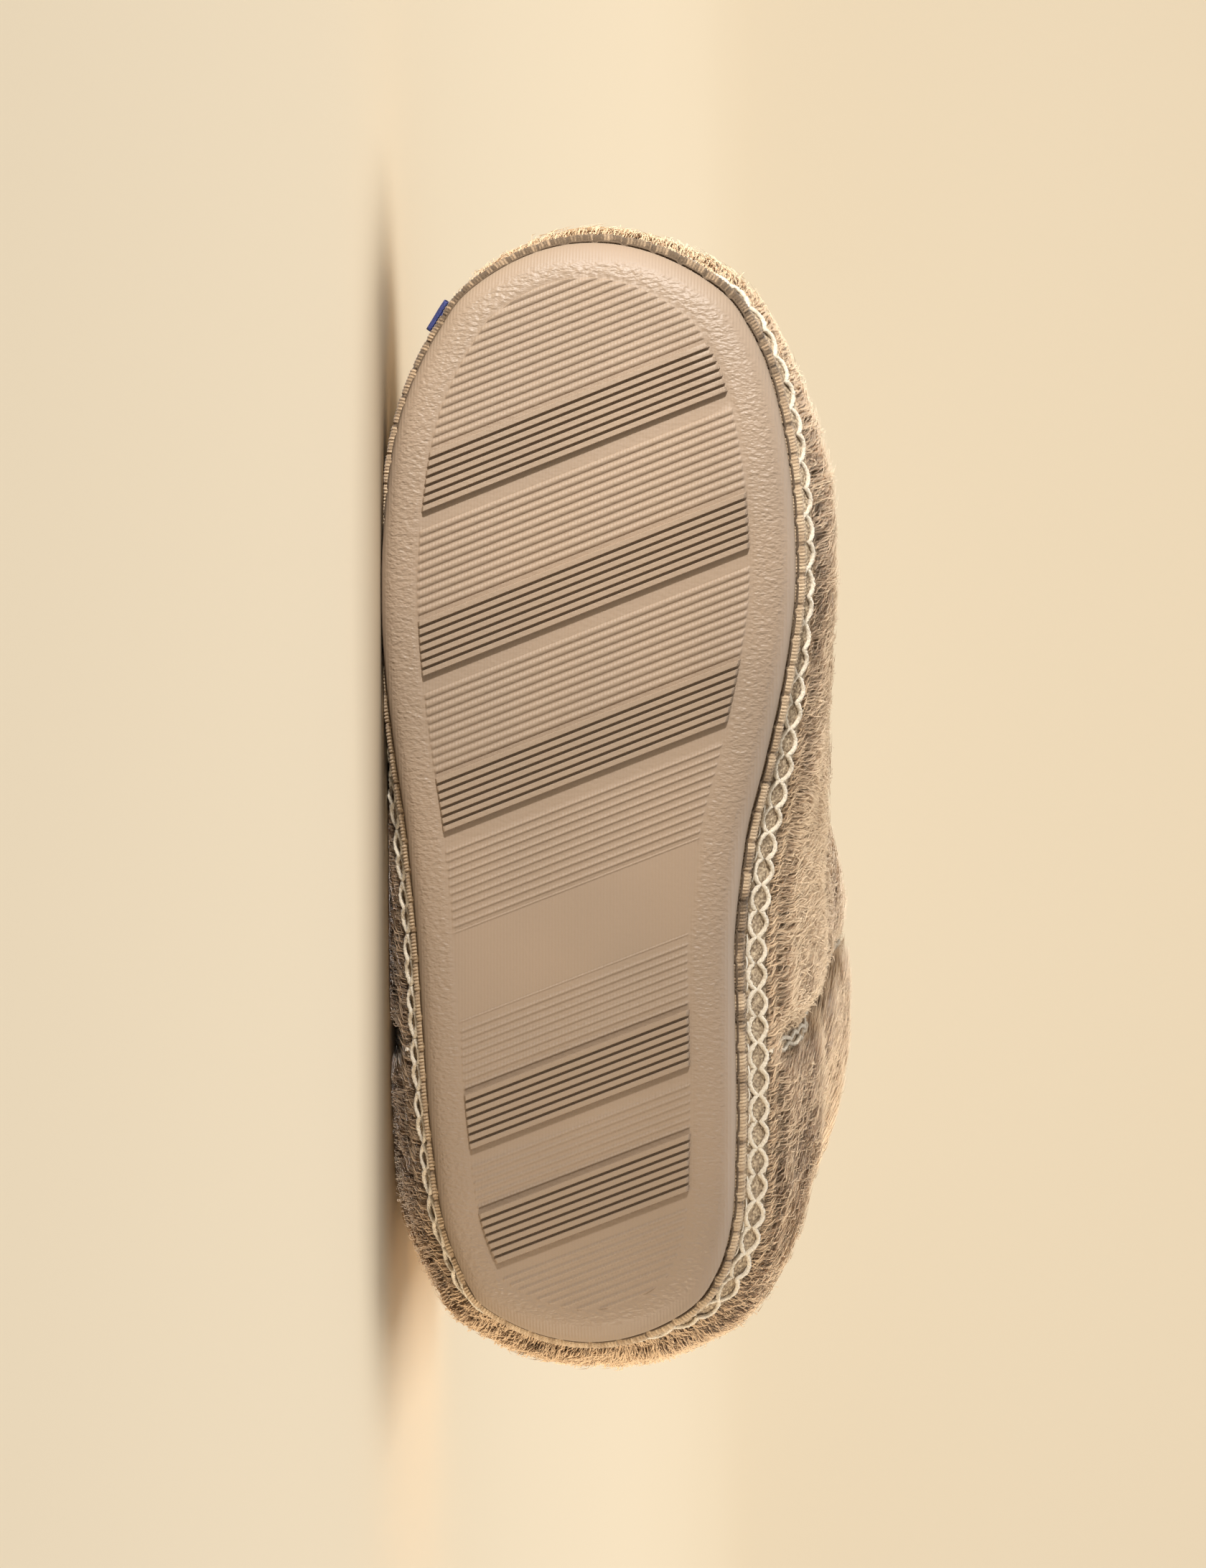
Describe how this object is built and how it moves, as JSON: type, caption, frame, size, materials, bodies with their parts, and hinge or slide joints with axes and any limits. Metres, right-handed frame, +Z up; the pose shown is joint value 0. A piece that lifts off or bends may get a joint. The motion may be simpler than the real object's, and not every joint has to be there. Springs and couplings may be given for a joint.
{
  "type": "slipper boot",
  "caption": "Ankle-high fur slipper boot for the right foot with a moulded rubber sole, yarn-bound rand, chain braid trim and an open collar, lying on its outer side.",
  "frame": {"origin": "middle of the boot's box, on the floor that it lies on", "axes": "+Z up from the floor, with the outer side of the boot down; -X towards the toe; -Y the way the tread faces"},
  "size_m": [0.2884, 0.1726, 0.1143],
  "materials": {
    "beige_rubber": "moulded beige rubber, satin, with a pebbled border and fine ribs",
    "cream_fleece": "short cream fleece",
    "tan_yarn": "tan yarn-wrapped binding with sewn pinches",
    "cream_cord": "cream chain braid on brown cloth",
    "taupe_fur": "soft taupe fur with darker roots",
    "blue_tab": "plain blue woven tab"
  },
  "bodies": {
    "root": {"outsole": "beige_rubber", "insole": "cream_fleece", "rand_tape": "tan_yarn", "sole_braid": "cream_cord", "seam_braid_inner": "cream_cord", "seam_braid_outer": "cream_cord", "upper": "taupe_fur", "side_tab": "blue_tab"}
  },
  "joints": []
}
